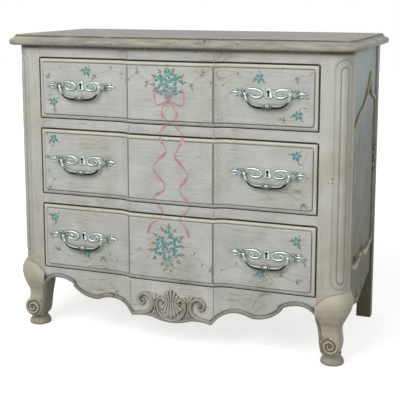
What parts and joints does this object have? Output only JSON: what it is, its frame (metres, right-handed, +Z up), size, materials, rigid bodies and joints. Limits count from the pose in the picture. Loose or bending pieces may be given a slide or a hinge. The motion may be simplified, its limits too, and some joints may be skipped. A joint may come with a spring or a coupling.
{
  "type": "bachelor chest",
  "caption": "Painted break-front bachelor chest with full-width sliding drawers, swinging bail pulls, scalloped apron with a carved shell, and scrolled front legs.",
  "frame": {"origin": "on the floor, under the middle of the top board", "axes": "+X to the right seen from the front, +Y to the back, +Z up; the drawers open towards -Y"},
  "size_m": [1.016, 0.481, 0.864],
  "materials": {
    "top_paint": "satin antique paint",
    "front_paint": "satin antique paint",
    "post_paint": "satin antique paint",
    "side_paint": "satin antique paint",
    "leg_paint": "satin antique paint",
    "bare_wood": "sealed",
    "back_board": "unfinished",
    "pull_metal": "antique silver",
    "fixing_steel": "plain"
  },
  "bodies": {
    "case": {"top_board": "top_paint", "left_front_post": "post_paint", "right_front_post": "post_paint", "left_front_leg": "leg_paint", "right_front_leg": "leg_paint", "left_front_pad": "leg_paint", "right_front_pad": "leg_paint", "left_rear_post": "side_paint", "right_rear_post": "side_paint", "left_side_panel": "side_paint", "right_side_panel": "side_paint", "left_side_moulding": "side_paint", "right_side_moulding": "side_paint", "back_panel": "back_board", "back_top_rail": "bare_wood", "back_bottom_rail": "bare_wood", "top_front_rail": "front_paint", "upper_drawer_rail": "front_paint", "lower_drawer_rail": "front_paint", "apron": "front_paint", "apron_carving": "leg_paint", "left_drawer_runners": "bare_wood", "right_drawer_runners": "bare_wood", "top_glue_blocks": "bare_wood"},
    "lower_drawer": {"lower_drawer_front": "front_paint", "lower_drawer_left_side": "bare_wood", "lower_drawer_right_side": "bare_wood", "lower_drawer_back": "bare_wood", "lower_drawer_bottom": "bare_wood", "lower_left_backplate": "pull_metal", "lower_left_pull_posts": "pull_metal", "lower_right_backplate": "pull_metal", "lower_right_pull_posts": "pull_metal", "lower_drawer_nuts": "fixing_steel"},
    "lower_left_bail_swing": {"lower_left_bail": "pull_metal"},
    "lower_right_bail_swing": {"lower_right_bail": "pull_metal"},
    "middle_drawer": {"middle_drawer_front": "front_paint", "middle_drawer_left_side": "bare_wood", "middle_drawer_right_side": "bare_wood", "middle_drawer_back": "bare_wood", "middle_drawer_bottom": "bare_wood", "middle_left_backplate": "pull_metal", "middle_left_pull_posts": "pull_metal", "middle_right_backplate": "pull_metal", "middle_right_pull_posts": "pull_metal", "middle_drawer_nuts": "fixing_steel"},
    "middle_left_bail_swing": {"middle_left_bail": "pull_metal"},
    "middle_right_bail_swing": {"middle_right_bail": "pull_metal"},
    "upper_drawer": {"upper_drawer_front": "front_paint", "upper_drawer_left_side": "bare_wood", "upper_drawer_right_side": "bare_wood", "upper_drawer_back": "bare_wood", "upper_drawer_bottom": "bare_wood", "upper_left_backplate": "pull_metal", "upper_left_pull_posts": "pull_metal", "upper_right_backplate": "pull_metal", "upper_right_pull_posts": "pull_metal", "upper_drawer_nuts": "fixing_steel"},
    "upper_left_bail_swing": {"upper_left_bail": "pull_metal"},
    "upper_right_bail_swing": {"upper_right_bail": "pull_metal"}
  },
  "joints": [
    {"name": "lower_drawer_slide", "type": "slide", "parent": "case", "child": "lower_drawer", "axis": [0, -1, 0], "range_m": [0, 0.3]},
    {"name": "lower_left_bail_hinge", "type": "hinge", "parent": "lower_drawer", "child": "lower_left_bail_swing", "pos_m": [-0.2715, -0.22148, 0.2925], "axis": [-1, 0, 0], "range_deg": [-8, 150]},
    {"name": "lower_right_bail_hinge", "type": "hinge", "parent": "lower_drawer", "child": "lower_right_bail_swing", "pos_m": [0.2715, -0.22148, 0.2925], "axis": [-1, 0, 0], "range_deg": [-8, 150]},
    {"name": "middle_drawer_slide", "type": "slide", "parent": "case", "child": "middle_drawer", "axis": [0, -1, 0], "range_m": [0, 0.3]},
    {"name": "middle_left_bail_hinge", "type": "hinge", "parent": "middle_drawer", "child": "middle_left_bail_swing", "pos_m": [-0.2715, -0.22148, 0.513], "axis": [-1, 0, 0], "range_deg": [-8, 150]},
    {"name": "middle_right_bail_hinge", "type": "hinge", "parent": "middle_drawer", "child": "middle_right_bail_swing", "pos_m": [0.2715, -0.22148, 0.513], "axis": [-1, 0, 0], "range_deg": [-8, 150]},
    {"name": "upper_drawer_slide", "type": "slide", "parent": "case", "child": "upper_drawer", "axis": [0, -1, 0], "range_m": [0, 0.3]},
    {"name": "upper_left_bail_hinge", "type": "hinge", "parent": "upper_drawer", "child": "upper_left_bail_swing", "pos_m": [-0.2715, -0.22148, 0.724], "axis": [-1, 0, 0], "range_deg": [-8, 150]},
    {"name": "upper_right_bail_hinge", "type": "hinge", "parent": "upper_drawer", "child": "upper_right_bail_swing", "pos_m": [0.2715, -0.22148, 0.724], "axis": [-1, 0, 0], "range_deg": [-8, 150]}
  ]
}
